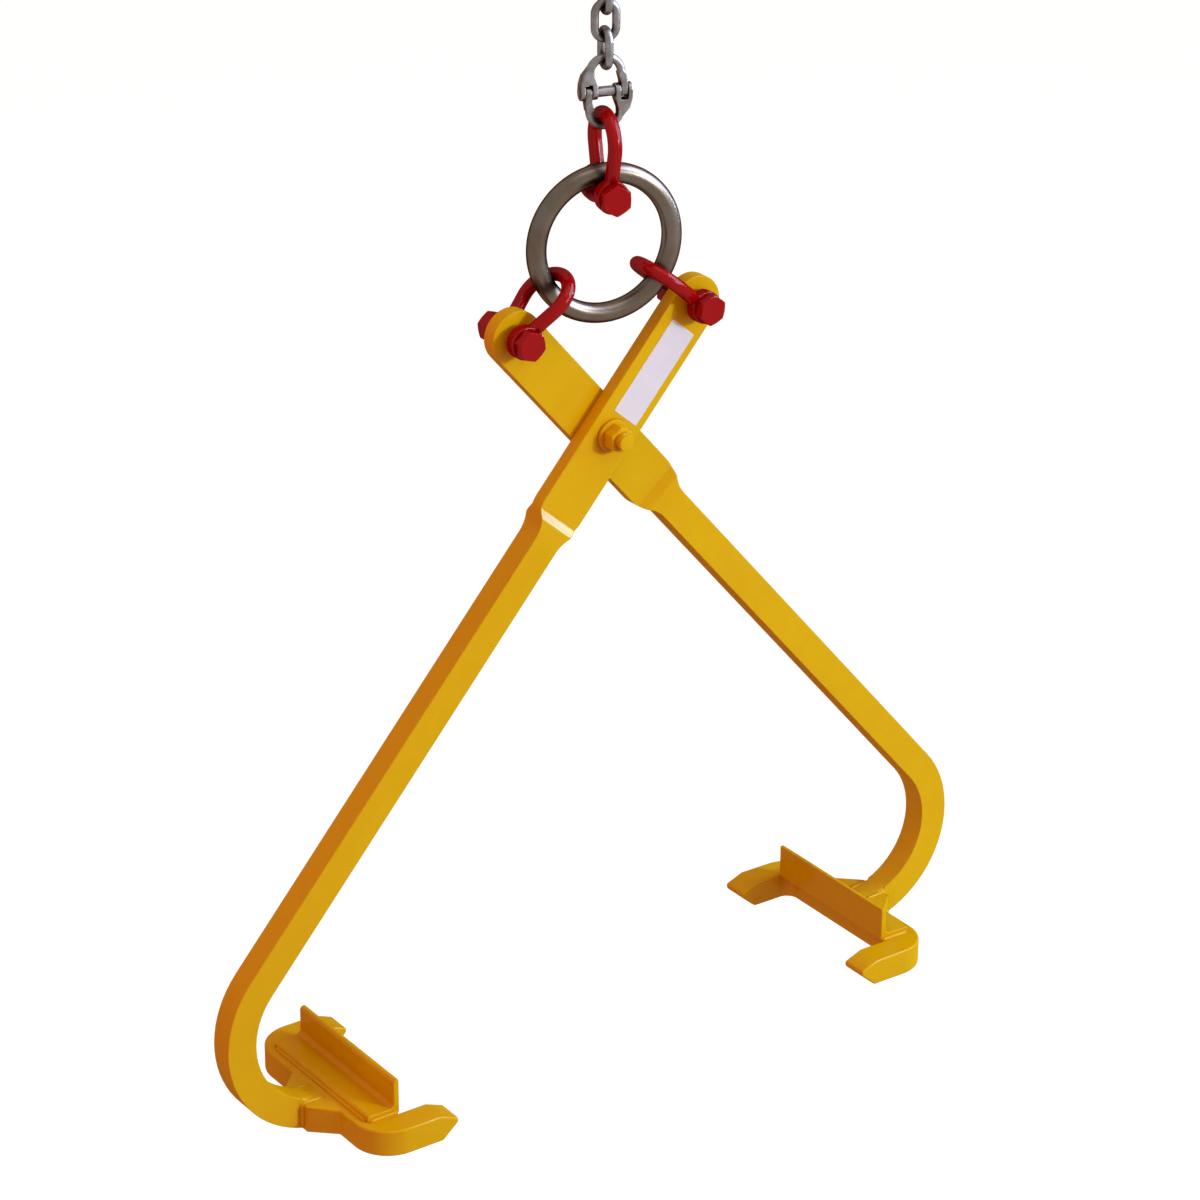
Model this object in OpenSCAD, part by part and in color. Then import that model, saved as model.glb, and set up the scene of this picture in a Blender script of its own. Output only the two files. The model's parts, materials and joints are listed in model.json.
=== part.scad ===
// Die lifting tongs: two crossed arms hang from a ring by shackles, and the ring hangs
// from a coupling and three links of chain. The arms end in forked yokes with angle irons.
// The origin is inside the top of the uppermost link, where the tongs hang.
// +Z is up, X runs from yoke to yoke, and the front arm is on the -Y side.

/* [Arms] */
// Angle of each arm from the vertical
arm_angle = 40.8; // [39:0.1:43]
// Distance along an arm from the pivot to the eye
arm_reach = 154.3; // [150:0.1:160]
// Distance along an arm from the pivot to the start of its bend
arm_drop = 640.4; // [600:0.1:680]
// Width of the flat upper part
flat_w = 55.6; // [50:0.1:60]
// Thickness of the flat upper part
flat_t = 15.5; // [13:0.1:18]
// Width of the bar, seen from the front
bar_w = 32; // [28:0.5:36]
// Depth of the bar, front to back
bar_t = 28; // [24:0.5:32]
// Distance from the pivot to where the flat starts to narrow
neck_start = 88; // [80:1:95]
// Length over which the flat narrows to the bar
neck_len = 40; // [32:1:50]
// Distance from the pivot to where the flat starts to thicken
ramp_start = 98; // [92:1:110]
// Length over which it thickens to the bar's depth
ramp_len = 9; // [5:1:20]
// Radius of the bend at the lower end, to the bar's middle
bend_r = 96; // [90:1:105]
// Distance from the bend's centre out to the face where the bar is welded on
weld_back = 30; // [24:1:36]

/* [Yokes] */
// Thickness of the yoke plate
yoke_t = 28.6; // [24:0.1:34]
// Width of the yoke over both prongs
yoke_w = 241.6; // [220:0.1:260]
// Width of the mouth between the prongs
mouth_w = 180.6; // [165:0.1:190]
// Depth of the mouth
mouth_deep = 65.5; // [55:0.5:75]
// Width of the plate behind the mouth
web_w = 32; // [28:0.5:40]
// Radius of the plate's outer corners
corner_r = 40; // [25:1:45]
// Radius of the corners inside the mouth
mouth_r = 12; // [8:1:16]
// Length of the sloping top of each prong
tip_slope = 20.5; // [14:0.5:26]
// Length of the sloping underside of each prong
tip_under = 18; // [12:0.5:24]
// Depth of the sloping top of each prong
tip_drop = 8; // [5:0.5:10]
// Height of the blunt nose of each prong
tip_nose = 5; // [3:0.5:7]
// Length of the tab that the arm is welded to
tab_len = 23.3; // [18:0.1:28]
// Width of the tab at the weld
tab_w = 47; // [40:0.5:52]
// Width of the tab at the plate
tab_root_w = 90; // [70:1:100]
// Height of the bar's middle over the plate's middle at the weld
weld_lift = 3; // [1:0.1:5]

/* [Angle irons] */
// Height of the upright leg, from the yoke plate up
angle_h = 37.3; // [32:0.1:44]
// Width of the leg that lies on the plate
angle_w = 37; // [34:0.5:44]
// Thickness of both legs
angle_t = 6.2; // [5:0.1:8]
// Radius in the inner corner
angle_root = 6; // [4:0.5:8]
// Radius on the toe of each leg
angle_toe = 4; // [2:0.5:4.5]
// Overhang of the upright leg's outer face beyond the bottom of the mouth
angle_over = 15.5; // [8:0.5:20]
// Gap between each end of the angle iron and the prong beside it
angle_end_gap = 1; // [0.5:0.1:3]

/* [Pivot] */
// Diameter of the pivot bolt
pivot_d = 16; // [14:0.5:18]
// Width of the bolt's head and nut across their flats
pivot_af = 24; // [23:0.5:27]
// Thickness of the bolt's head
pivot_head_t = 10; // [8:0.5:12]
// Thickness of the nut
pivot_nut_t = 14; // [12:0.5:16]
// Length of thread beyond the nut
pivot_stub = 8; // [4:0.5:12]
// Outer diameter of the washer
washer_d = 34; // [30:1:40]
// Thickness of the washer
washer_t = 3.5; // [2.5:0.1:5]

/* [Ring] */
// Radius of the ring, to the middle of its bar
ring_r = 70.8; // [69:0.1:73]
// Diameter of the ring's bar
ring_d = 20; // [19:0.1:21]
// Turn of the ring about the vertical
ring_yaw = -12; // [-14:0.5:-9]

/* [Shackles] */
// Diameter of a shackle's bar
bow_d = 14; // [13:0.1:15]
// Radius of the bow, to the middle of its bar
bow_r = 27.6; // [26.5:0.1:29]
// Distance from the bolt to the middle of the bow's arc
bow_up = 49.2; // [48:0.1:51]
// Slope of each leg
bow_flare = 16; // [12:0.5:18]
// Diameter of the bosses
boss_d = 33; // [30:0.5:36]
// Thickness of one boss
boss_t = 12; // [10:0.5:14]
// Width of the jaw between the bosses
jaw_w = 26.6; // [25:0.1:28]
// Height of the jaw's flat sides over the bosses
jaw_over = 1.7; // [1:0.1:3]
// Diameter of a shackle's bolt
bolt_d = 16; // [14:0.5:17]
// Width of the bolt's head and nut across their flats
bolt_af = 27.5; // [25:0.5:29]
// Thickness of the bolt's head
bolt_head_t = 10.4; // [8:0.1:12]
// Thickness of the bolt's nut
bolt_nut_t = 14; // [10:0.5:16]
// Length of thread beyond the nut
bolt_stub = 3; // [1:0.5:6]
// Tilt of the left shackle over the line from its eye to the ring's centre
left_tilt = 3.6; // [2:0.1:5]
// Tilt of the right shackle, which lies a little lower in the ring
right_tilt = 1.6; // [1:0.1:4]

/* [Coupling and chain] */
// Turn of the top shackle, the coupling and the chain about the vertical
chain_yaw = -14.5; // [-17:0.5:-12]
// Distance from the load pin to the middle of each crown
crown_up = 33.4; // [32:0.1:36]
// Radius of each crown, to the middle of its bar
crown_r = 16; // [15.5:0.1:16.5]
// Diameter of the crown's bar
crown_d = 8.2; // [7.6:0.1:8.6]
// Width of the coupling over its forks
coupling_w = 52; // [51:0.5:54]
// Thickness of a tongue
tongue_t = 6.7; // [6:0.1:7]
// Distance from the coupling's middle to the middle of a tongue
tongue_x = 17.95; // [17.7:0.05:18.2]
// Thickness of a fork's inner prong
prong_t = 5.5; // [4.5:0.1:6]
// Diameter of a fork's rounded end about the load pin
fork_d = 14.4; // [13.6:0.1:15]
// Diameter of a tongue's rounded end about the load pin
tongue_d = 12.4; // [11.5:0.1:13]
// Diameter of the load pin
pin_d = 6.2; // [5:0.1:7]
// Depth that each end of the load pin lies below the forks' faces
pin_sunk = 0.5; // [0.2:0.1:1.5]
// Diameter of the sleeve on the load pin
sleeve_d = 10; // [9:0.1:11]
// Diameter of a chain link's bar
link_d = 8; // [7.5:0.1:8.5]
// Length of a link, to the middle of its bar
link_len = 35; // [33:0.5:38]
// Width of a link, to the middle of its bar
link_w = 21.5; // [21:0.5:24]

/* [Clearances] */
// Gap between a bolt or pin and its hole, all round
fit = 0.05; // [0.03:0.01:0.09]
// Gap between bars that hook into each other
rest_gap = 0.3; // [0.2:0.05:0.5]
// How much nearer the right eye is to the ring than the left one, so its bow hangs slack
right_slack = 1.1; // [0:0.1:2]
// Gap between flat faces that slide
face_gap = 0.25; // [0.15:0.05:0.4]
// Room between the coupling's rounded ends and the shoulders that they turn under
slot_room = 1.2; // [0.8:0.1:1.6]

/* [Hidden] */
$fn = 96;
// A cut reaches this far past the faces that it opens
over = 1;

// Heights down the chain and the coupling
link_pitch = link_len - link_d - rest_gap;
link_1_z = (link_d - link_len) / 2;
link_2_z = link_1_z - link_pitch;
link_3_z = link_2_z - link_pitch;
upper_crown_z = link_3_z - link_len / 2 + (link_d + crown_d) / 2 + rest_gap;
pin_z = upper_crown_z - crown_up;
lower_crown_z = pin_z - crown_up;

// Heights of the top shackle's bolt and of the ring
bow_top = bow_up + bow_r;
top_bolt_z = lower_crown_z + (crown_d + bow_d) / 2 + rest_gap - bow_top;
ring_z = top_bolt_z + (ring_d + bolt_d) / 2 + rest_gap - ring_r;

// The eyes and the pivot: a bow that meets the ring askew sits this much nearer its centre
skew_loss = 3.04;
sling_len = ring_r + bow_top - (ring_d + bow_d) / 2 - skew_loss;
eye_x = arm_reach * sin(arm_angle);
eye_drop = sqrt(sling_len * sling_len - eye_x * eye_x);
sling_rise = atan2(eye_drop, eye_x);
pivot_x = -right_slack / (2 * cos(sling_rise));
eye_z = ring_z - eye_drop + right_slack / (2 * sin(sling_rise));
pivot_z = eye_z - arm_reach * cos(arm_angle);

// Middle planes and outer faces of the two arms, and the face of the washer on the pivot
arm_y = (flat_t + face_gap) / 2;
outer_face = arm_y + flat_t / 2;
washer_face = -outer_face - face_gap;

// Where the front arm's bend ends at the yoke, from the pivot
bend_x = bend_r * cos(arm_angle) - arm_drop * sin(arm_angle);
bend_z = -bend_r * sin(arm_angle) - arm_drop * cos(arm_angle);
tab_x = bend_x - weld_back;
yoke_top = bend_z - sqrt(bend_r * bend_r - weld_back * weld_back) - weld_lift + yoke_t / 2;

// The front yoke's edges along X
web_x = tab_x + tab_len;
mouth_x = web_x + web_w;
tip_x = mouth_x + mouth_deep;
pad_x = mouth_x + angle_over;

// Across the coupling
tongue_in = tongue_x - tongue_t / 2;
tongue_out = tongue_x + tongue_t / 2;
prong_in = tongue_in - face_gap - prong_t;

yellow = [0.86, 0.67, 0.08];
red = [0.66, 0.04, 0.05];
bright_steel = [0.72, 0.71, 0.70];
dark_steel = [0.42, 0.38, 0.35];

// Places that the pieces are built at

module at_pivot() translate([pivot_x, 0, pivot_z]) children();

module turned() rotate([0, 0, 180]) children();

module on_chain(z) translate([0, 0, z]) rotate([0, 0, chain_yaw]) children();

// The left eye is the back arm's, and the right eye is the front arm's
module at_eye(side) {
  rise = sling_rise + (side > 0 ? right_tilt : left_tilt);
  translate([pivot_x + side * eye_x, -side * arm_y, eye_z])
    rotate([0, -side * (90 - rise), 0])
      children();
}

// A shape drawn in X and Z, extruded along Y about its middle
module upright(depth) rotate([90, 0, 0]) linear_extrude(height = depth, center = true) children();

// A shape drawn in Y and Z, extruded along X about its middle
module sideways(length) rotate([90, 0, 90]) linear_extrude(height = length, center = true) children();

// A round bar along Y
module round_y(d, from, to) translate([0, from, 0]) rotate([-90, 0, 0]) cylinder(d = d, h = to - from);

// A hexagon along Y with corners up and down, its corners turned off at the ends asked for
module hexagon(af, from, to, front_cut = true, back_cut = true) {
  depth = to - from;
  wide = af + 2 * depth / tan(30);
  intersection() {
    translate([0, from, 0]) rotate([-90, 90, 0]) cylinder(d = af / cos(30), h = depth, $fn = 6);
    translate([0, from, 0]) rotate([-90, 0, 0]) cylinder(d1 = front_cut ? af : wide, d2 = wide, h = depth);
    translate([0, from, 0]) rotate([-90, 0, 0]) cylinder(d1 = wide, d2 = back_cut ? af : wide, h = depth);
  }
}

// Chain link, long axis up, in the plane of Y and Z when turned
module link(across) {
  half = (link_len - link_w) / 2;
  color(dark_steel) rotate([0, 0, across ? 90 : 0]) {
    for (end = [0, 180])
      rotate([0, end, 0])
        translate([0, 0, half])
          rotate([90, 0, 0])
            rotate_extrude(angle = 180)
              translate([link_w / 2, 0]) circle(d = link_d, $fn = 48);
    for (x = [-1, 1])
      translate([x * link_w / 2, 0, -half]) cylinder(d = link_d, h = 2 * half, $fn = 48);
  }
}

module chain_link_top() on_chain(link_1_z) link(true);

module chain_link_middle() on_chain(link_2_z) link(false);

module chain_link_bottom() on_chain(link_3_z) link(true);

// One side of a coupling half: an outline in X and Z, whose end is round about the load
// pin and which thins upward to the crown's bar
module coupling_leg(end_d) {
  neck = crown_d / 2;
  neck_z = crown_up - crown_r + neck;
  difference() {
    intersection() {
      upright(2 * end_d) children();
      union() {
        sideways(2 * coupling_w) polygon([
          [-end_d / 2, 0], [end_d / 2, 0], [neck, neck_z],
          [neck, crown_up], [-neck, crown_up], [-neck, neck_z]
        ]);
        rotate([0, 90, 0]) cylinder(d = end_d, h = 2 * coupling_w, center = true);
      }
    }
    pin_hole();
  }
}

module pin_hole() {
  rotate([0, 90, 0]) cylinder(d = pin_d + 2 * fit, h = 2 * coupling_w, center = true, $fn = 48);
}

// One half of the coupling, its crown up: a fork on the left and a tongue on the right
// meet the other half's tongue and fork on the load pin
module coupling_half() {
  neck = crown_d / 2;
  inner = crown_r - neck;
  arc_z = crown_up - crown_r;
  brow_z = arc_z + 0.6 * crown_r;
  fork_out = coupling_w / 2;
  slot_top = fork_d / 2 + slot_room;
  color(dark_steel) {
    translate([0, 0, arc_z]) rotate([90, 0, 0])
      rotate_extrude(angle = 180) translate([crown_r, 0]) circle(d = crown_d, $fn = 48);
    difference() {
      coupling_leg(fork_d) polygon([
        [-inner, arc_z], [-inner, brow_z], [-crown_r, brow_z],
        [-fork_out + neck / 2, arc_z], [-fork_out, slot_top], [-fork_out, -fork_d],
        [-prong_in, -fork_d], [-prong_in, slot_top]
      ]);
      translate([-tongue_out - face_gap, -fork_d, -fork_d])
        cube([tongue_t + 2 * face_gap, 2 * fork_d, fork_d + slot_top]);
    }
    coupling_leg(tongue_d) polygon([
      [tongue_in, -fork_d], [tongue_out, -fork_d], [tongue_out, slot_top],
      [crown_r + neck, arc_z], [crown_r, arc_z + neck], [inner, arc_z], [tongue_in, slot_top]
    ]);
  }
}

module coupling_upper_half() on_chain(pin_z) coupling_half();

module coupling_lower_half() on_chain(pin_z) rotate([0, 180, 0]) coupling_half();

module coupling_pin() {
  color(dark_steel) on_chain(pin_z)
    rotate([0, 90, 0]) cylinder(d = pin_d, h = coupling_w - 2 * pin_sunk, center = true, $fn = 48);
}

module coupling_sleeve() {
  color(dark_steel) on_chain(pin_z)
    rotate([0, 90, 0]) difference() {
      cylinder(d = sleeve_d, h = 2 * (prong_in - face_gap), center = true, $fn = 48);
      cylinder(d = pin_d + 2 * fit, h = 2 * prong_in + over, center = true, $fn = 48);
    }
}

// Shackle with its bolt along Y and its bow up: a bent bar forged to two bosses, which are
// spot faced for the bolt's head and nut. Each leg is a hair thinner than the bow and
// starts just inside the bow's end
module shackle_bow() {
  hair = 0.02;
  leg_start = 0.3;
  leg_len = bow_up / cos(bow_flare) - bow_r * tan(bow_flare) - boss_d / 4;
  face = jaw_w / 2;
  seat = face + boss_t;
  jaw_top = boss_d / 2 + jaw_over;
  color(red) difference() {
    union() {
      translate([0, 0, bow_up]) rotate([90, 0, 90]) rotate([0, 0, -bow_flare])
        rotate_extrude(angle = 180 + 2 * bow_flare) translate([bow_r, 0]) circle(d = bow_d);
      for (side = [-1, 1]) {
        translate([0, 0, bow_up]) rotate([side * bow_flare, 0, 0]) translate([0, -side * bow_r, -leg_len])
          cylinder(d = bow_d - hair, h = leg_len + leg_start);
        round_y(boss_d, side > 0 ? face : -face - boss_t, side > 0 ? face + boss_t : -face);
      }
    }
    translate([-boss_d, -face, -boss_d]) cube([2 * boss_d, jaw_w, boss_d + jaw_top]);
    round_y(boss_d + over, seat, seat + bow_d);
    round_y(boss_d + over, -seat - bow_d, -seat);
    round_y(bolt_d + 2 * fit, -seat - over, seat + over);
  }
}

module shackle_bolt() {
  seat = jaw_w / 2 + boss_t;
  color(red) {
    hexagon(bolt_af, -seat - bolt_head_t, -seat, back_cut = false);
    round_y(bolt_d, -seat - over, seat + bolt_nut_t + bolt_stub);
  }
}

module shackle_nut() {
  seat = jaw_w / 2 + boss_t;
  color(red) difference() {
    hexagon(bolt_af, seat, seat + bolt_nut_t);
    round_y(bolt_d + 2 * fit, seat - over, seat + bolt_nut_t + over);
  }
}

module top_shackle_bow() on_chain(top_bolt_z) shackle_bow();

module top_shackle_bolt() on_chain(top_bolt_z) shackle_bolt();

module top_shackle_nut() on_chain(top_bolt_z) shackle_nut();

module left_shackle_bow() at_eye(-1) shackle_bow();

module left_shackle_bolt() at_eye(-1) shackle_bolt();

module left_shackle_nut() at_eye(-1) shackle_nut();

module right_shackle_bow() at_eye(1) shackle_bow();

module right_shackle_bolt() at_eye(1) shackle_bolt();

module right_shackle_nut() at_eye(1) shackle_nut();

module ring() {
  color(bright_steel) translate([0, 0, ring_z]) rotate([0, 0, ring_yaw]) rotate([90, 0, 0])
    rotate_extrude() translate([ring_r, 0]) circle(d = ring_d);
}

// Half the width of the front of an arm at a distance down from the pivot, through the
// two tangent arcs that narrow the flat to the bar
function neck_half(down) =
  let (step = (flat_w - bar_w) / 2)
  let (arc = (neck_len * neck_len + step * step) / (4 * step))
  down < neck_start + neck_len / 2
    ? flat_w / 2 - arc + sqrt(arc * arc - pow(down - neck_start, 2))
    : bar_w / 2 + arc - sqrt(arc * arc - pow(neck_start + neck_len - down, 2));

// Outline of an arm in its own plane, the eye end up
module arm_outline() {
  steps = 16;
  neck = [for (i = [0 : steps]) let (down = neck_start + neck_len * i / steps) [neck_half(down), -down]];
  side = concat([[flat_w / 2, arm_reach]], neck, [[bar_w / 2, -arm_drop]]);
  translate([0, arm_reach]) circle(d = flat_w);
  polygon(concat(side, [for (i = [len(side) - 1 : -1 : 0]) [-side[i][0], side[i][1]]]));
}

// The front arm with its pivot at the origin. Flattened bar with two bored eyes, which
// narrows and thickens below the pivot, then bends in to its yoke
module arm() {
  ramp_end = ramp_start + ramp_len;
  color(yellow) difference() {
    translate([0, -arm_y, 0]) rotate([0, arm_angle, 0]) difference() {
      union() {
        intersection() {
          upright(bar_t) arm_outline();
          sideways(2 * flat_w) polygon([
            [-flat_t / 2, arm_reach + flat_w], [-flat_t / 2, -ramp_start], [-bar_t / 2, -ramp_end],
            [-bar_t / 2, -arm_drop], [bar_t / 2, -arm_drop],
            [bar_t / 2, -ramp_end], [flat_t / 2, -ramp_start], [flat_t / 2, arm_reach + flat_w]
          ]);
        }
        translate([bend_r, 0, -arm_drop]) rotate([90, 0, 0]) rotate([0, 0, 180])
          rotate_extrude(angle = 125) translate([bend_r, 0]) square([bar_w, bar_t], center = true);
      }
      translate([0, 0, arm_reach]) round_y(bolt_d + 2 * fit, -bar_t, bar_t);
      round_y(pivot_d + 2 * fit, -bar_t, bar_t);
    }
    translate([tab_x, -bar_t - arm_y, bend_z - 2 * bend_r])
      cube([2 * bend_r, 2 * bar_t, 2 * bend_r - weld_back]);
  }
}

// Plate from x0 to x1 with its two corners at x0 rounded
module rounded_plate(x0, x1, width, r) {
  translate([x0 + r, -width / 2]) square([x1 - x0 - r, width]);
  translate([x0, r - width / 2]) square([2 * r, width - 2 * r]);
  for (side = [-1, 1])
    translate([x0 + r, side * (width / 2 - r)]) circle(r = r);
}

// The front arm's yoke, a forked plate with a tab behind it for the weld
module yoke() {
  tip = yoke_top - tip_drop;
  bottom = yoke_top - yoke_t;
  color(yellow) intersection() {
    translate([0, 0, bottom]) linear_extrude(height = yoke_t) difference() {
      union() {
        rounded_plate(web_x, tip_x, yoke_w, corner_r);
        translate([0, -arm_y]) polygon([
          [tab_x, -tab_w / 2], [web_x, -tab_root_w / 2], [web_x + over, -tab_root_w / 2],
          [web_x + over, tab_root_w / 2], [web_x, tab_root_w / 2], [tab_x, tab_w / 2]
        ]);
      }
      rounded_plate(mouth_x, tip_x + over, mouth_w, mouth_r);
    }
    upright(2 * yoke_w) polygon([
      [tab_x, bottom], [tip_x - tip_under, bottom], [tip_x, tip - tip_nose],
      [tip_x, tip], [tip_x - tip_slope, yoke_top], [tab_x, yoke_top]
    ]);
  }
}

// What rounds off the toe of a leg, its corner up and to the left
module toe_cut() {
  difference() {
    translate([-over, 0]) square(angle_toe + over);
    translate([angle_toe, 0]) circle(r = angle_toe);
  }
}

// Angle iron on the front yoke: its upright leg is the pad that bears on the load
module angle_iron() {
  back = pad_x - angle_t;
  toe = pad_x - angle_w;
  leg_top = yoke_top + angle_t;
  color(yellow) upright(mouth_w - 2 * angle_end_gap) difference() {
    union() {
      translate([back, yoke_top]) square([angle_t, angle_h]);
      translate([toe, yoke_top]) square([angle_w, angle_t]);
      translate([back - angle_root, leg_top]) square(angle_root);
    }
    translate([back - angle_root, leg_top + angle_root]) circle(r = angle_root);
    translate([back, yoke_top + angle_h - angle_toe]) toe_cut();
    translate([toe, leg_top - angle_toe]) toe_cut();
  }
}

module front_arm() at_pivot() arm();

module back_arm() at_pivot() turned() arm();

module front_yoke() at_pivot() yoke();

module back_yoke() at_pivot() turned() yoke();

module front_angle() at_pivot() angle_iron();

module back_angle() at_pivot() turned() angle_iron();

// The pivot bolt's head bears on the back arm, and its washer and nut are in front of the
// front arm, which turns between them
module pivot_bolt() {
  color(yellow) at_pivot() {
    hexagon(pivot_af, outer_face, outer_face + pivot_head_t, front_cut = false);
    round_y(pivot_d, washer_face - washer_t - pivot_nut_t - pivot_stub, outer_face + over);
  }
}

module pivot_washer() {
  color(yellow) at_pivot() difference() {
    round_y(washer_d, washer_face - washer_t, washer_face);
    round_y(pivot_d + 2 * fit, washer_face - washer_t - over, washer_face + over);
  }
}

module pivot_nut() {
  nut_face = washer_face - washer_t;
  color(yellow) at_pivot() difference() {
    hexagon(pivot_af, nut_face - pivot_nut_t, nut_face);
    round_y(pivot_d + 2 * fit, nut_face - pivot_nut_t - over, nut_face + over);
  }
}

chain_link_top();
chain_link_middle();
chain_link_bottom();
coupling_upper_half();
coupling_lower_half();
coupling_pin();
coupling_sleeve();
top_shackle_bow();
top_shackle_bolt();
top_shackle_nut();
ring();
left_shackle_bow();
left_shackle_bolt();
left_shackle_nut();
right_shackle_bow();
right_shackle_bolt();
right_shackle_nut();
back_arm();
back_yoke();
back_angle();
pivot_bolt();
pivot_washer();
pivot_nut();
front_arm();
front_yoke();
front_angle();
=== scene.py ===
import json
import math

import bmesh
import bpy
from mathutils import Matrix, Vector


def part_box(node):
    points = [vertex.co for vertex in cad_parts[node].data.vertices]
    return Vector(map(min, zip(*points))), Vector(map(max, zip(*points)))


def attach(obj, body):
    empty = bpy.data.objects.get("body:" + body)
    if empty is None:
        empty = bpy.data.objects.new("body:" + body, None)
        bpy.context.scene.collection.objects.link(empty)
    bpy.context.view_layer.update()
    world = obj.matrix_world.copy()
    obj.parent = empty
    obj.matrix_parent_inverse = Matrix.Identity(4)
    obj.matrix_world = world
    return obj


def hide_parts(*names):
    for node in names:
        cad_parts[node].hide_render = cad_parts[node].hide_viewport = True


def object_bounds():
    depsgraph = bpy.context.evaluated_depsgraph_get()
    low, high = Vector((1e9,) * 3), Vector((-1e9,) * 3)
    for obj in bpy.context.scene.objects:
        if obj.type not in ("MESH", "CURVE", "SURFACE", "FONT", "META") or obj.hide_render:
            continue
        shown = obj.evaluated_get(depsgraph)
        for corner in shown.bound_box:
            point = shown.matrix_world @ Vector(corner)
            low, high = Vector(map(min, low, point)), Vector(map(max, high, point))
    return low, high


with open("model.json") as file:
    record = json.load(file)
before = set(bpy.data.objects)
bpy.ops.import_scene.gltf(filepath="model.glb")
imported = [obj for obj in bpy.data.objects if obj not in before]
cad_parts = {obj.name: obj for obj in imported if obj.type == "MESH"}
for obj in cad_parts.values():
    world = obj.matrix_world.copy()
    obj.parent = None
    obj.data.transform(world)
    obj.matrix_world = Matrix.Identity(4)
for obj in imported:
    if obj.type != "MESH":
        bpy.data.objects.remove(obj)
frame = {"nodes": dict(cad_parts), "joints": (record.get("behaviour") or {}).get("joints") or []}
cad_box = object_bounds()
mm = 0.001

# The two arms are forged flat bars, each with two bored eyes, that thicken below the
# pivot and bend in at the foot. They are sprayed with gloss yellow enamel all over,
# which rounds their edges a little. Its colour carries painted shade in the corners and
# painted highlights along the edges.
ARM_EDGE = 3.0 * mm
YELLOW = (0.70, 0.50, 0.004)
# The deeper colour serves both for the enamel's random clouds and mottle and as painted shade in corners.
YELLOW_DEEP_AND_SHADE = (0.50, 0.17, 0.001)
# The edge colour is a painted highlight, lighter along the rounded edges.
YELLOW_EDGE_HIGHLIGHT = (0.80, 0.58, 0.09)
YELLOW_ROUND = 1.2 * mm
# Corners closer than this reach get painted shade.
CORNER_SHADE_REACH = 22 * mm
# The enamel's clouds, mottle, duller places, waves and pimples of orange peel, each as
# how many there are to the metre.
CLOUDS = 9
MOTTLE = 70
DULLER = 34
WAVES = 55
PIMPLES = 620
WAVE_HEIGHT = 0.35 * mm
WAVE_STRENGTH = 0.15
PIMPLE_HEIGHT = 0.12 * mm
# How much of the deeper colour shows in clouds and mottle, how much of it lies in corners
# as painted shade, and how much painted highlight lies on edges.
CLOUD_SHARE = 0.13
MOTTLE_SHARE = 0.07
CORNER_SHADE_SHARE = 0.60
EDGE_HIGHLIGHT_SHARE = 0.55
# In a CAD mesh, corners this close are one, faces that turn by this little are one flat
# face, and edges this close to the welded end lie on it.
SAME_CORNER = 0.001 * mm
SAME_FACE = math.radians(0.6)
ON_THE_WELD = 0.01 * mm


def feed(node, inputs):
    """Links a socket to each of the node's inputs, or sets a plain value or colour there."""
    for key, value in inputs.items():
        entry = node.inputs[key]
        if isinstance(value, bpy.types.NodeSocket):
            node.id_data.links.new(value, entry)
        elif entry.type == "RGBA":
            entry.default_value = (*value, 1)
        else:
            entry.default_value = value


def adder(tree):
    """A way to add a node to the tree, with its settings and what feeds it."""
    def add(kind, inputs=None, **settings):
        node = tree.nodes.new(kind)
        for key, value in settings.items():
            setattr(node, key, value)
        feed(node, inputs or {})
        return node

    return add


def new_finish(name):
    """A new material with its shader, and a way to add nodes to it."""
    material = bpy.data.materials.new(name)
    material.use_nodes = True
    tree = material.node_tree
    return material, tree.nodes["Principled BSDF"], adder(tree)


def object_noise(add, scale, detail, stretch=(1, 1, 1), roughness=0.5):
    """Noise on the piece's own coordinates, its scale in lumps to the metre."""
    place = add("ShaderNodeMapping", {"Vector": add("ShaderNodeTexCoord").outputs["Object"],
                                      "Scale": stretch})
    return add("ShaderNodeTexNoise", {"Vector": place.outputs["Vector"], "Scale": scale,
                                      "Detail": detail, "Roughness": roughness}).outputs["Fac"]


def spread(add, value, low, high, from_low=0.3, from_high=0.7):
    """A value between 0 and 1 drawn out to run from low to high."""
    return add("ShaderNodeMapRange", {"Value": value, "From Min": from_low, "From Max": from_high,
                                      "To Min": low, "To Max": high}).outputs["Result"]


def blend_colours(add, amount, one, other):
    """A colour that goes from one to the other by the amount."""
    return add("ShaderNodeMix", {0: amount, 6: one, 7: other}, data_type="RGBA").outputs[2]


def openness(add, reach):
    """1 in the open, and less in corners that are closer than the reach."""
    return add("ShaderNodeAmbientOcclusion", {"Distance": reach}, samples=6).outputs["AO"]


def rounded(add, radius):
    """The surface's direction as if its edges had the radius."""
    return add("ShaderNodeBevel", {"Radius": radius}, samples=5).outputs["Normal"]


def relief(add, noise, strength, height, over=None):
    """The surface's direction with small bumps, over the direction that it starts from."""
    inputs = {"Height": noise, "Strength": strength, "Distance": height}
    if over is not None:
        inputs["Normal"] = over
    return add("ShaderNodeBump", inputs).outputs["Normal"]


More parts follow.
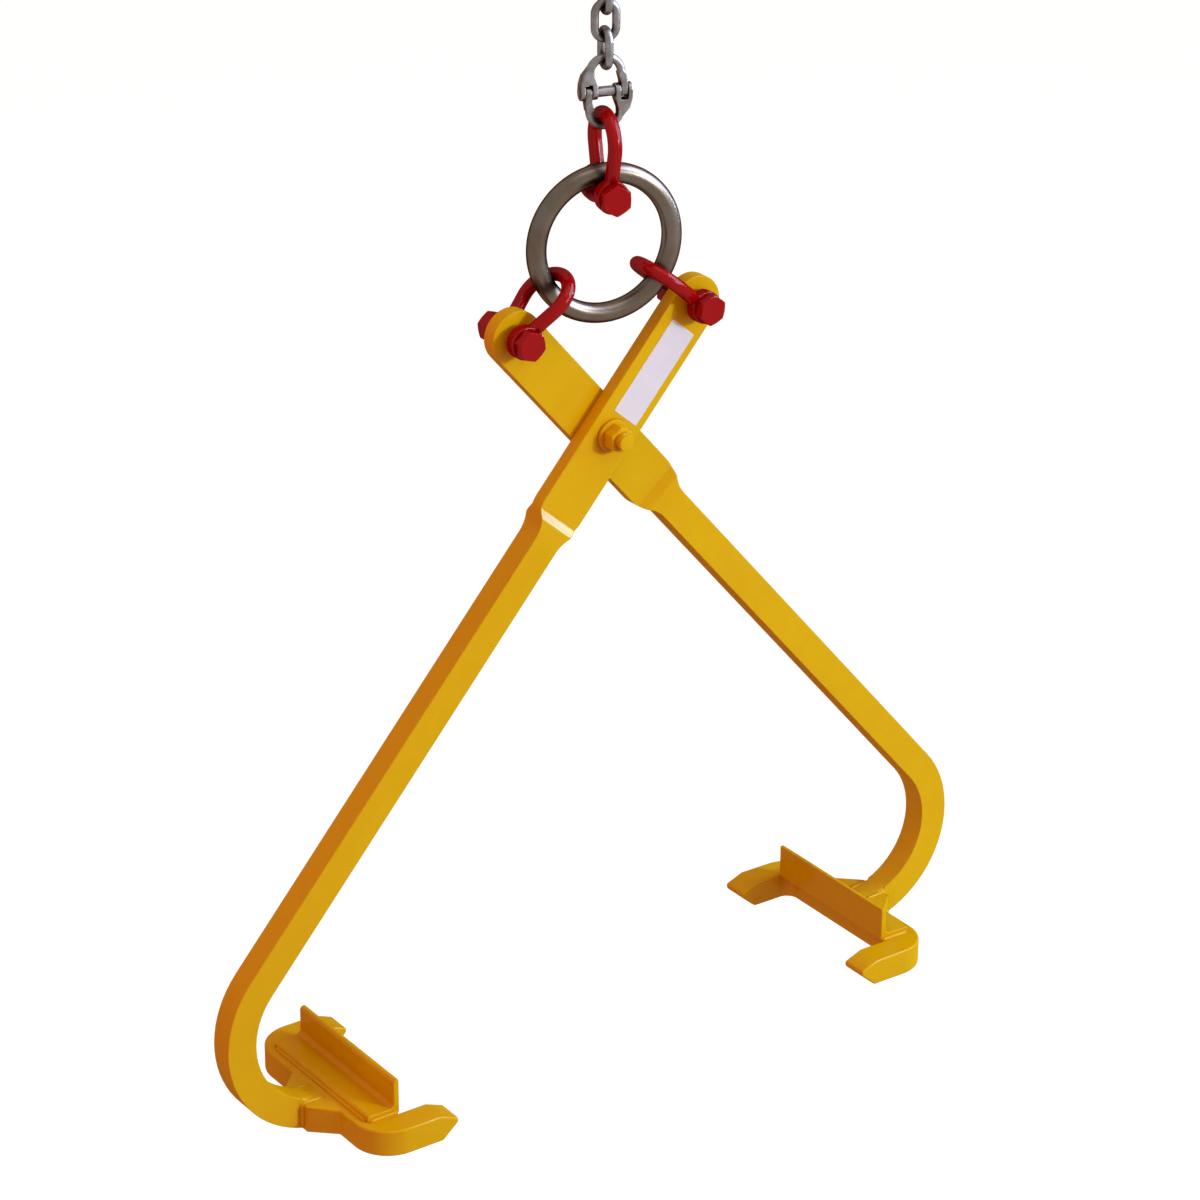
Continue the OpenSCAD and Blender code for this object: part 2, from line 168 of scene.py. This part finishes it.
def enamel(name, colour, deep_and_shade, edge, edge_radius, gloss=0.12, peel=0.08, shine=0.055):
    """Sprayed gloss enamel: orange peel, slow waves, painted shade in corners, painted highlights on
    edges.
    """
    material, shader, add = new_finish(name)
    clouds = spread(add, object_noise(add, CLOUDS, detail=4), low=0.0, high=CLOUD_SHARE)
    mottle = spread(add, object_noise(add, MOTTLE, detail=5), low=0.0, high=MOTTLE_SHARE)
    tone = add("ShaderNodeMath", {0: clouds, 1: mottle}, operation="ADD").outputs[0]
    painted = blend_colours(add, tone, colour, deep_and_shade)
    # Painted shade: the deeper colour laid into corners that other faces close in on.
    painted_shade_mask = spread(add, openness(add, CORNER_SHADE_REACH), low=CORNER_SHADE_SHARE, high=0.0,
                    from_low=0.30, from_high=0.95)
    with_painted_shade = blend_colours(add, painted_shade_mask, painted, deep_and_shade)
    soft = rounded(add, edge_radius)
    true = add("ShaderNodeNewGeometry").outputs["Normal"]
    bend = add("ShaderNodeVectorMath", {0: soft, 1: true}, operation="DOT_PRODUCT").outputs["Value"]
    # Painted highlight: where the rounded direction turns away from the true one, along edges, the colour
    # goes lighter.
    painted_edge_highlight_mask = spread(add, bend, low=EDGE_HIGHLIGHT_SHARE, high=0.0, from_low=0.80, from_high=0.995)
    duller = object_noise(add, DULLER, detail=5)
    waves = relief(add, object_noise(add, WAVES, detail=2), WAVE_STRENGTH, WAVE_HEIGHT, over=soft)
    skin = relief(add, object_noise(add, PIMPLES, detail=2), peel, PIMPLE_HEIGHT, over=waves)
    facing = add("ShaderNodeLayerWeight", {"Blend": 0.5}).outputs["Facing"]
    feed(shader, {
        "Base Color": blend_colours(add, painted_edge_highlight_mask, with_painted_shade, edge),
        "Roughness": spread(add, duller, gloss - 0.05, gloss + 0.07),
        "Normal": skin,
        "Specular IOR Level": 0.0,
        "Coat Weight": spread(add, facing, shine, shine * 0.2, from_low=0.35, from_high=0.90),
        "Coat Roughness": gloss,
        "Coat IOR": 2.0,
        "Coat Normal": skin,
    })
    return material


def cad_copy(node):
    """The node's mesh with its corners merged and its flat faces made whole."""
    bm = bmesh.new()
    bm.from_mesh(frame["nodes"][node].data)
    bmesh.ops.remove_doubles(bm, verts=bm.verts, dist=SAME_CORNER)
    bmesh.ops.dissolve_limit(bm, angle_limit=SAME_FACE, verts=bm.verts, edges=bm.edges)
    return bm


def round_edges(bm, width, sharper_than=28, square_at=None):
    """Rounds every edge that turns by more than the angle, but not those on a welded end."""
    sharp = [e for e in bm.edges if e.calc_face_angle(0) > math.radians(sharper_than)]
    if square_at is not None:
        sharp = [e for e in sharp if any(abs(v.co.x - square_at) > ON_THE_WELD for v in e.verts)]
    bmesh.ops.bevel(bm, geom=sharp, affect="EDGES", offset=width, segments=3, profile=0.5,
                    material=-1, clamp_overlap=True)


def made_mesh(bm, name, material):
    """The finished mesh with its material."""
    mesh = bpy.data.meshes.new(name)
    bm.to_mesh(mesh)
    bm.free()
    mesh.materials.append(material)
    return mesh


def put_in_scene(name, data):
    """A new object for the mesh, light or camera."""
    made = bpy.data.objects.new(name, data)
    bpy.context.scene.collection.objects.link(made)
    return made


def finish_piece(bm, name, body, material, node=None, smooth_to=40):
    """Makes the mesh a piece that rides on its body, and stands for its CAD node if it has one."""
    mesh = made_mesh(bm, name, material)
    mesh.shade_smooth()
    mesh.set_sharp_from_angle(angle=math.radians(smooth_to))
    piece = put_in_scene(name, mesh)
    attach(piece, body)
    if node:
        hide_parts(node)
    return piece


def level_normals(piece):
    """Large flat faces stay flat in shading beside their rounded edges."""
    weigh = piece.modifiers.new("flat faces lead", "WEIGHTED_NORMAL")
    weigh.keep_sharp = True


def welded_end(side):
    """How far out the bar's end meets the tab of its yoke."""
    low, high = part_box(f"{side}_yoke")
    return low.x if side == "front" else high.x


yellow_enamel = enamel("yellow_enamel", YELLOW, YELLOW_DEEP_AND_SHADE, YELLOW_EDGE_HIGHLIGHT, YELLOW_ROUND)
for side in ("front", "back"):
    bm = cad_copy(f"{side}_arm")
    round_edges(bm, ARM_EDGE, square_at=welded_end(side))
    arm = finish_piece(bm, f"{side}_arm_forging", f"{side}_tong", yellow_enamel,
                       f"{side}_arm")
    level_normals(arm)

# The yokes are forked plates, flame cut from 28 mm steel and ground at the edges. The
# angle irons that stand on them are rolled section, cut to fit between the prongs.
YOKE_EDGE = 2.2 * mm
ANGLE_EDGE = 0.9 * mm

for side in ("front", "back"):
    for part, edge in (("yoke", YOKE_EDGE), ("angle", ANGLE_EDGE)):
        bm = cad_copy(f"{side}_{part}")
        round_edges(bm, edge, sharper_than=24, square_at=welded_end(side))
        plate = finish_piece(bm, f"{side}_{part}_plate", f"{side}_tong",
                             yellow_enamel, f"{side}_{part}")
        level_normals(plate)

# Weld beads join each bar to its yoke's tab, and each angle iron's flat leg to the plate.
# Each is a run of overlapping ripples laid by hand, under the same enamel. Between its
# beads, the last of the bar's bend runs out on the yoke's deck.
RIPPLE = 1.9 * mm
RIPPLE_STEPS = 4
RIPPLE_SWELL = 0.05
BEAD_SIDES = 12
FEWEST_STEPS = 10
BEAD_NOSE = (0.12, 0.42, 0.60, 0.73, 0.83, 0.90, 0.96)
# Each bead's radius, then where it lies against the corner that it fills: along the flat
# leg's toe, along its sawn ends, up the tab, and along the foot of the bar.
LEG_TOE_BEAD = 2.7 * mm
LEG_TOE_SHORT = 4 * mm
LEG_END_BEAD = 2.5 * mm
LEG_END_START = 2 * mm
LEG_END_SHORT = 1.5 * mm
LEG_END_LIFT = 0.3 * mm
TAB_BEAD = 3.2 * mm
TAB_START = 2 * mm
TAB_OVER = 1 * mm
FOOT_BEAD = 2.6 * mm
FOOT_BEHIND = 1 * mm
FOOT_SHORT = 5 * mm
FOOT_LIFT = 0.5 * mm
FOOT_SINK = 1 * mm
# The bend's inner radius and how far its centre lies ahead of the tab, then the part of
# its turn that runs out on the deck, how deep that goes and how far it stands proud.
BEND_INSIDE = 80 * mm
BEND_AHEAD = 30 * mm
RUNOUT_FROM = math.radians(24)
RUNOUT_TO = math.radians(4)
RUNOUT_STEPS = 8
RUNOUT_DEEP = 7 * mm
RUNOUT_PROUD = 0.15 * mm


def weld_bead(bm, start, end, radius):
    """A rippled bead from start to end, closed to a round nose at both ends."""
    start, end = Vector(start), Vector(end)
    along = (end - start).normalized()
    steps = max(FEWEST_STEPS, round((end - start).length / (RIPPLE / RIPPLE_STEPS)))
    stride = (end - start) / steps
    turn = along.to_track_quat("Z", "Y").to_matrix().to_4x4()
    ring = bmesh.ops.create_circle(bm, segments=BEAD_SIDES, radius=radius, cap_ends=True,
                                   matrix=Matrix.Translation(start) @ turn)["verts"]
    edges = ring[0].link_faces[0].edges[:]
    width = BEAD_NOSE[0]
    bmesh.ops.scale(bm, vec=(width,) * 3, space=Matrix.Translation(-start), verts=ring)
    for i in range(1, steps + 1):
        made = bmesh.ops.extrude_edge_only(bm, edges=edges)["geom"]
        ring = [g for g in made if isinstance(g, bmesh.types.BMVert)]
        edges = [g for g in made if isinstance(g, bmesh.types.BMEdge)]
        bmesh.ops.translate(bm, vec=stride, verts=ring)
        near = min(i, steps - i)
        swell = RIPPLE_SWELL * math.cos(2 * math.pi * i / RIPPLE_STEPS)
        wanted = BEAD_NOSE[near] if near < len(BEAD_NOSE) else 1 + swell
        here = start + stride * i
        bmesh.ops.scale(bm, vec=(wanted / width,) * 3, space=Matrix.Translation(-here), verts=ring)
        width = wanted
    bmesh.ops.contextual_create(bm, geom=edges)


def bar_runout(bm, centre, way, width):
    """The last of the bar's bend, which runs out on the deck: its section, spun on round."""
    start, end = way * RUNOUT_FROM, way * RUNOUT_TO
    inner = BEND_INSIDE - RUNOUT_PROUD
    outer = inner + RUNOUT_DEEP
    down = Vector((-math.sin(start), 0, -math.cos(start)))
    across = Vector((0, 1, 0))
    corners = ((inner, -1), (inner, 1), (outer, 1), (outer, -1))
    verts = [bm.verts.new(centre + down * r + across * (half * width / 2)) for r, half in corners]
    bm.faces.new(verts)
    bmesh.ops.bevel(bm, geom=verts[:2], affect="VERTICES", offset=ARM_EDGE, segments=3, profile=0.5,
                    material=-1)
    section = next(iter(verts[2].link_faces))
    bmesh.ops.spin(bm, geom=[section], cent=centre, axis=across, angle=end - start,
                   steps=RUNOUT_STEPS, use_duplicate=False)


for side, way in (("front", 1), ("back", -1)):
    angle_low, angle_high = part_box(f"{side}_angle")
    yoke_low, yoke_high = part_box(f"{side}_yoke")
    arm_low, arm_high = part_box(f"{side}_arm")
    toe, heel = (angle_low.x, angle_high.x) if way > 0 else (angle_high.x, angle_low.x)
    tab = welded_end(side)
    deck = yoke_high.z
    bar_middle, bar_wide = (arm_low.y + arm_high.y) / 2, arm_high.y - arm_low.y
    bend = Vector((tab + way * BEND_AHEAD, bar_middle, deck + BEND_INSIDE))
    bm = bmesh.new()
    weld_bead(bm, (toe, angle_low.y + LEG_TOE_SHORT, deck), (toe, angle_high.y - LEG_TOE_SHORT, deck),
              LEG_TOE_BEAD)
    for y in (angle_low.y, angle_high.y):
        weld_bead(bm, (toe + way * LEG_END_START, y, deck + LEG_END_LIFT),
                  (heel - way * LEG_END_SHORT, y, deck + LEG_END_LIFT), LEG_END_BEAD)
    for y in (arm_low.y, arm_high.y):
        weld_bead(bm, (tab, y, yoke_low.z + TAB_START), (tab, y, deck + TAB_OVER), TAB_BEAD)
        weld_bead(bm, (tab - way * FOOT_BEHIND, y, deck + FOOT_LIFT),
                  (bend.x - way * FOOT_SHORT, y, deck - FOOT_SINK), FOOT_BEAD)
    bar_runout(bm, bend, way, bar_wide + 2 * RUNOUT_PROUD)
    bmesh.ops.recalc_face_normals(bm, faces=bm.faces)
    finish_piece(bm, f"{side}_welds", f"{side}_tong", yellow_enamel, smooth_to=60)

# The pivot is an M16 bolt through both arms, with a washer and a nut in front. It was
# fitted before painting, so its thread shows only as soft turns under the enamel.
TURNED_EDGES = (("bolt", 1.4 * mm), ("washer", 0.5 * mm), ("nut", 0.6 * mm))
FINE_ROUND = 0.4 * mm
BOLT_RADIUS = 8 * mm
# The thread's pitch and height, how deep its foot stands in the bolt, half the foot's
# width, the plain tip that it leaves, and its steps to the turn.
THREAD_PITCH = 2.0 * mm
THREAD_HEIGHT = 0.45 * mm
THREAD_ROOT = 0.2 * mm
THREAD_FOOT = THREAD_PITCH * 0.42
PLAIN_TIP = 0.8 * mm
TURN_STEPS = 36


def thread(bm, start, axis, length):
    """A helical ridge round a bolt's end: one small triangle spun up the bolt."""
    turns = length / THREAD_PITCH - 1
    out = axis.orthogonal().normalized()
    root, crest = BOLT_RADIUS - THREAD_ROOT, BOLT_RADIUS + THREAD_HEIGHT
    corners = ((root, -THREAD_FOOT), (crest, 0), (root, THREAD_FOOT))
    verts = [bm.verts.new(start + axis * (THREAD_PITCH / 2 + h) + out * r) for r, h in corners]
    ridge = bm.faces.new(verts)
    steps = round(turns * TURN_STEPS)
    bmesh.ops.spin(bm, geom=[ridge], cent=start, axis=axis, angle=turns * 2 * math.pi, steps=steps,
                   dvec=axis * (turns * THREAD_PITCH / steps), use_duplicate=False)
    bmesh.ops.recalc_face_normals(bm, faces=bm.faces)


fine_enamel = enamel("fine_enamel", YELLOW, YELLOW_DEEP_AND_SHADE, YELLOW_EDGE_HIGHLIGHT, FINE_ROUND)
for part, edge in TURNED_EDGES:
    bm = cad_copy(f"pivot_{part}")
    round_edges(bm, edge)
    finish_piece(bm, f"pivot_{part}_turned", "back_tong", fine_enamel, f"pivot_{part}")
pivot_at = Vector(next(j for j in frame["joints"] if j["name"] == "tongs_close")["pos_m"])
nut_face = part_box("pivot_nut")[0].y
bolt_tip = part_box("pivot_bolt")[0].y
bm = bmesh.new()
thread(bm, Vector((pivot_at.x, nut_face, pivot_at.z)), Vector((0, -1, 0)), nut_face - bolt_tip - PLAIN_TIP)
finish_piece(bm, "pivot_thread", "back_tong", yellow_enamel, smooth_to=50)

# The three bow shackles are drop forged from 14 mm bar, with spot-faced bosses for an
# M16 bolt and its nut, and are painted in gloss red enamel, bolts and all.
RED = (0.33, 0.001, 0.002)
# The deeper red is also painted shade in corners, and the edge red is a painted highlight.
RED_DEEP_AND_SHADE = (0.13, 0.0004, 0.001)
RED_EDGE_HIGHLIGHT = (0.42, 0.004, 0.006)
RED_ROUND = 0.8 * mm
BOW_GRAIN = 0.75 * mm
BOW_PASSES = 8


def soften_forging(piece, grain, passes):
    """Fills the corners where forged shapes run into each other, as a die's radii do."""
    remesh = piece.modifiers.new("forging skin", "REMESH")
    remesh.mode = "VOXEL"
    remesh.voxel_size = grain
    remesh.use_smooth_shade = True
    flow = piece.modifiers.new("die radii", "SMOOTH")
    flow.factor = 0.5
    flow.iterations = passes


def finish_nodes(material, *nodes):
    """Gives CAD nodes that keep their own mesh a better finish."""
    for node in nodes:
        for slot in frame["nodes"][node].material_slots:
            slot.material = material


red_enamel = enamel("red_enamel", RED, RED_DEEP_AND_SHADE, RED_EDGE_HIGHLIGHT, RED_ROUND, gloss=0.10, peel=0.10,
                    shine=0.085)
for where in ("top", "left", "right"):
    body = f"{where}_shackle"
    bow = finish_piece(cad_copy(f"{body}_bow"), f"{body}_forging", body, red_enamel,
                       f"{body}_bow")
    soften_forging(bow, BOW_GRAIN, BOW_PASSES)
    finish_nodes(red_enamel, f"{body}_bolt", f"{body}_nut")

# The ring is 20 mm round bar, bent, butt welded and polished. Its satin surface carries
# fine marks that run round it, a cloudy brownish tone, and painted shade where other parts come close.
RING_BAR = 10 * mm
RING_RADIUS = 70.8 * mm
RING_TURN = math.radians(-12)
RING_SIDES = 48
RING_STEPS = 160
STEEL_RING = (0.152, 0.122, 0.100)
STEEL_RING_DARK = (0.095, 0.062, 0.038)
STEEL_RING_RIM = (0.14, 0.06, 0.025)
# Painted shade: bare steel goes near black in corners that other parts close in on, within the reach, by
# the share.
STEEL_CORNER_SHADE = (0.03, 0.02, 0.014)
STEEL_SHADE_REACH = 6 * mm
STEEL_SHADE_SHARE = 0.85
LUMP_HEIGHT = 0.3 * mm
MARK_HEIGHT = 0.08 * mm


def bare_steel(name, light, dark, rim, rough, clouds, marks, lumpy, marked, edge_radius=None):
    """Bare steel with a cloudy tone, painted shade in corners, fine scratches and an uneven surface."""
    material, shader, add = new_finish(name)
    cloudy = spread(add, object_noise(add, clouds, detail=6, roughness=0.6), low=0.0, high=1.0)
    tone = blend_colours(add, cloudy, light, dark)
    # Painted shade in the corners.
    painted_steel_shade_mask = spread(add, openness(add, STEEL_SHADE_REACH), low=STEEL_SHADE_SHARE, high=0.0,
                  from_low=0.25, from_high=0.95)
    scratches = object_noise(add, marks, detail=4, stretch=(1, 1, 6))
    soft = rounded(add, edge_radius) if edge_radius else None
    uneven = relief(add, object_noise(add, clouds * 5, detail=3), lumpy, LUMP_HEIGHT, over=soft)
    feed(shader, {
        "Base Color": blend_colours(add, painted_steel_shade_mask, tone, STEEL_CORNER_SHADE),
        "Metallic": 1.0,
        "Roughness": spread(add, scratches, rough - 0.02, rough + 0.03),
        "Normal": relief(add, scratches, marked, MARK_HEIGHT, over=uneven),
        "Specular Tint": rim,
    })
    return material


satin_steel = bare_steel("satin_steel", STEEL_RING, STEEL_RING_DARK, STEEL_RING_RIM, rough=0.30,
                         clouds=16, marks=350, lumpy=0.02, marked=0.006)
ring_low, ring_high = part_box("ring")
ring_at = (ring_low + ring_high) / 2
ring_out = Vector((math.cos(RING_TURN), math.sin(RING_TURN), 0))
ring_axis = Vector((-math.sin(RING_TURN), math.cos(RING_TURN), 0))
bm = bmesh.new()
bmesh.ops.create_circle(bm, segments=RING_SIDES, radius=RING_BAR,
                        matrix=Matrix.Translation(ring_at + ring_out * RING_RADIUS))
bmesh.ops.spin(bm, geom=bm.verts[:] + bm.edges[:], cent=ring_at, axis=ring_axis,
               angle=2 * math.pi, steps=RING_STEPS, use_merge=True)
bmesh.ops.recalc_face_normals(bm, faces=bm.faces)
finish_piece(bm, "polished_ring", "master_ring", satin_steel, "ring", smooth_to=60)

# The coupling is two drop-forged halves that hook past each other on a load pin, held by
# a sleeve. The chain over it is 8 mm welded link. Both are dark, oiled and scaly; the darkening in their
# corners is painted shade.
STEEL_DARK = (0.25, 0.235, 0.23)
STEEL_DARKER = (0.14, 0.112, 0.095)
STEEL_DARK_RIM = (0.25, 0.17, 0.11)
FORGED_ROUND = 0.5 * mm
COUPLING_GRAIN = 0.32 * mm
COUPLING_PASSES = 45

forged_steel = bare_steel("forged_steel", STEEL_DARK, STEEL_DARKER, STEEL_DARK_RIM, rough=0.34,
                          clouds=60, marks=1500, lumpy=0.12, marked=0.02, edge_radius=FORGED_ROUND)
for half in ("upper", "lower"):
    forging = finish_piece(cad_copy(f"coupling_{half}_half"), f"coupling_{half}_forging",
                           f"{half}_coupling", forged_steel, f"coupling_{half}_half")
    soften_forging(forging, COUPLING_GRAIN, COUPLING_PASSES)
finish_nodes(forged_steel, "coupling_pin", "coupling_sleeve", "chain_link_top",
             "chain_link_middle", "chain_link_bottom")

# A plain white label, cut from thin vinyl with small round corners, is stuck on the
# front arm above the pivot. Its face is bare and a little uneven.
LABEL_LONG = 106.5 * mm
LABEL_WIDE = 33.9 * mm
LABEL_THICK = 0.25 * mm
LABEL_CORNER = 1.0 * mm
LABEL_SUNK = 0.05 * mm
# Where its middle lies up and across the arm from the pivot, and how far the arm's flat
# face stands in front of the pivot's middle.
LABEL_UP = 74.5 * mm
LABEL_ACROSS = 2.4 * mm
FLAT_FACE_AHEAD = 15.625 * mm
ARM_LEAN = math.radians(40.8)
VINYL = (0.70, 0.76, 0.90)
VINYL_DULL = (0.65, 0.71, 0.85)

bm = bmesh.new()
bmesh.ops.create_cube(bm, size=1.0)
bmesh.ops.scale(bm, vec=(LABEL_WIDE, LABEL_THICK, LABEL_LONG), verts=bm.verts)
corners = [e for e in bm.edges if abs((e.verts[0].co - e.verts[1].co).y) > LABEL_THICK / 2]
bmesh.ops.bevel(bm, geom=corners, affect="EDGES", offset=LABEL_CORNER, segments=4, profile=0.5,
                material=-1)
flat_face = pivot_at.y - FLAT_FACE_AHEAD
bmesh.ops.translate(bm, vec=(LABEL_ACROSS, flat_face - LABEL_THICK / 2 + LABEL_SUNK, LABEL_UP),
                    verts=bm.verts)
bmesh.ops.rotate(bm, cent=(0, 0, 0), matrix=Matrix.Rotation(ARM_LEAN, 3, "Y"), verts=bm.verts)
bmesh.ops.translate(bm, vec=(pivot_at.x, 0, pivot_at.z), verts=bm.verts)
vinyl, shader, add = new_finish("white_vinyl")
faded = spread(add, object_noise(add, scale=60, detail=4), low=0.0, high=0.6)
feed(shader, {
    "Base Color": blend_colours(add, faded, VINYL, VINYL_DULL),
    "Roughness": spread(add, object_noise(add, scale=240, detail=3), low=0.32, high=0.44),
    "Normal": relief(add, object_noise(add, scale=110, detail=3), strength=0.2, height=0.15 * mm),
})
finish_piece(bm, "blank_label", "front_tong", vinyl)

# A plain pale floor lies well below the hanging tongs. To the camera and in reflections
# it is the same white as the backdrop, apart from the soft shadow that falls on it, and
# the light that it throws back on the tongs is warm.
FLOOR_DROP = 0.85
FLOOR_REACH = 9.0
PAPER_WARM = (0.55, 0.36, 0.22)
PAPER_SEEN = (0.25, 0.25, 0.25)
PAPER_GLOW = 0.955
WHITE = (1, 1, 1)


def emptied(owner):
    """Clears the nodes of a material or world, and gives a way to add new ones."""
    owner.use_nodes = True
    owner.node_tree.nodes.clear()
    return adder(owner.node_tree)


def in_view(add):
    """1 for a ray from the camera, off gloss or through glass, and 0 for other light."""
    rays = add("ShaderNodeLightPath").outputs
    mirrored = add("ShaderNodeMath", {0: rays["Is Glossy Ray"], 1: rays["Is Transmission Ray"]},
                   operation="MAXIMUM").outputs[0]
    return add("ShaderNodeMath", {0: rays["Is Camera Ray"], 1: mirrored},
               operation="MAXIMUM").outputs[0]


paper = bpy.data.materials.new("white_paper")
add = emptied(paper)
warm = add("ShaderNodeBsdfDiffuse", {"Color": PAPER_WARM})
pale = add("ShaderNodeBsdfDiffuse", {"Color": PAPER_SEEN})
glow = add("ShaderNodeEmission", {"Color": WHITE, "Strength": PAPER_GLOW})
seen = add("ShaderNodeAddShader", {0: pale.outputs[0], 1: glow.outputs[0]})
pick = add("ShaderNodeMixShader", {0: in_view(add), 1: warm.outputs[0], 2: seen.outputs[0]})
add("ShaderNodeOutputMaterial", {"Surface": pick.outputs[0]})
bm = bmesh.new()
bmesh.ops.create_grid(bm, x_segments=1, y_segments=1, size=FLOOR_REACH)
bmesh.ops.translate(bm, vec=(0, 0, cad_box[0].z - FLOOR_DROP), verts=bm.verts)
floor = put_in_scene("studio_floor", made_mesh(bm, "studio_floor", paper))

# The studio is a dim warm room with a white backdrop. A soft box with a bare bulb stands at
# the right in front, a small box at the right, and a soft one overhead. A warm bounce from the
# left is never mirrored, and a broad bluish window at the right is only mirrored.
ROOM_WARM = (1.0, 0.48, 0.30)
ROOM_LEVEL = 0.42
TONGS_MIDDLE = Vector((0, 0, -0.60))
# Each lamp's name, place, width and height, watts, and tint.
LAMPS = (
    ("soft_box_key", (2.20, -3.75, 0.57), (1.7, 1.7), 60, (0.84, 0.94, 1.0)),
    ("bare_bulb_key", (2.20, -3.75, 0.57), (0.25, 0.25), 70, (0.84, 0.94, 1.0)),
    ("soft_box_right", (2.41, -0.62, -0.29), (0.24, 0.24), 17, (0.45, 0.72, 1.0)),
    ("soft_box_over", (0.4, -0.6, 1.7), (1.6, 1.6), 14, (1.0, 1.0, 1.0)),
    ("warm_bounce_left", (-2.3, -0.6, 0.4), (2.0, 2.0), 22, (1.0, 0.32, 0.09)),
    ("window_right", (2.20, -1.27, 1.00), (2.2, 2.2), 320, (0.45, 0.62, 1.0)),
)
UNMIRRORED = "warm_bounce_left"
MIRRORED_ONLY = "window_right"

world = bpy.data.worlds.new("white_backdrop")
bpy.context.scene.world = world
add = emptied(world)
room = add("ShaderNodeBackground", {"Color": ROOM_WARM, "Strength": ROOM_LEVEL})
backdrop = add("ShaderNodeBackground", {"Color": WHITE, "Strength": 1.0})
pick = add("ShaderNodeMixShader", {0: in_view(add), 1: room.outputs[0], 2: backdrop.outputs[0]})
add("ShaderNodeOutputWorld", {"Surface": pick.outputs[0]})
for name, at, (wide, tall), watts, tint in LAMPS:
    light = bpy.data.lights.new(name, "AREA")
    light.shape = "RECTANGLE"
    light.size = wide
    light.size_y = tall
    light.energy = watts
    light.color = tint
    lamp = put_in_scene(name, light)
    lamp.location = at
    lamp.rotation_euler = (TONGS_MIDDLE - lamp.location).to_track_quat("-Z", "Y").to_euler()
    lamp.visible_camera = False
    lamp.visible_glossy = name != UNMIRRORED
    lamp.visible_diffuse = name != MIRRORED_ONLY

# The camera stands in front, to the left and above, where the reference picture was
# taken from, and is held with a slight roll.
CAMERA_AROUND = math.radians(35.184)
CAMERA_ABOVE = math.radians(24.25)
CAMERA_AWAY = 3.9749
CAMERA_ROLL = math.radians(0.29)
CAMERA_LENS = 119.19
CAMERA_SENSOR = 36.0
LOOK_AT = Vector((-0.00295, 0, -0.63681))

back = Vector((-math.sin(CAMERA_AROUND) * math.cos(CAMERA_ABOVE),
               -math.cos(CAMERA_AROUND) * math.cos(CAMERA_ABOVE), math.sin(CAMERA_ABOVE)))
right = Vector((math.cos(CAMERA_AROUND), -math.sin(CAMERA_AROUND), 0))
up = back.cross(right)
right, up = (right * math.cos(CAMERA_ROLL) + up * math.sin(CAMERA_ROLL),
             up * math.cos(CAMERA_ROLL) - right * math.sin(CAMERA_ROLL))
lens = bpy.data.cameras.new("camera")
lens.lens = CAMERA_LENS
lens.sensor_width = CAMERA_SENSOR
camera = put_in_scene("camera", lens)
turn = Matrix((right, up, back)).transposed().to_4x4()
camera.matrix_world = Matrix.Translation(LOOK_AT + back * CAMERA_AWAY) @ turn
bpy.context.scene.camera = camera
bpy.context.scene.view_settings.view_transform = "Standard"
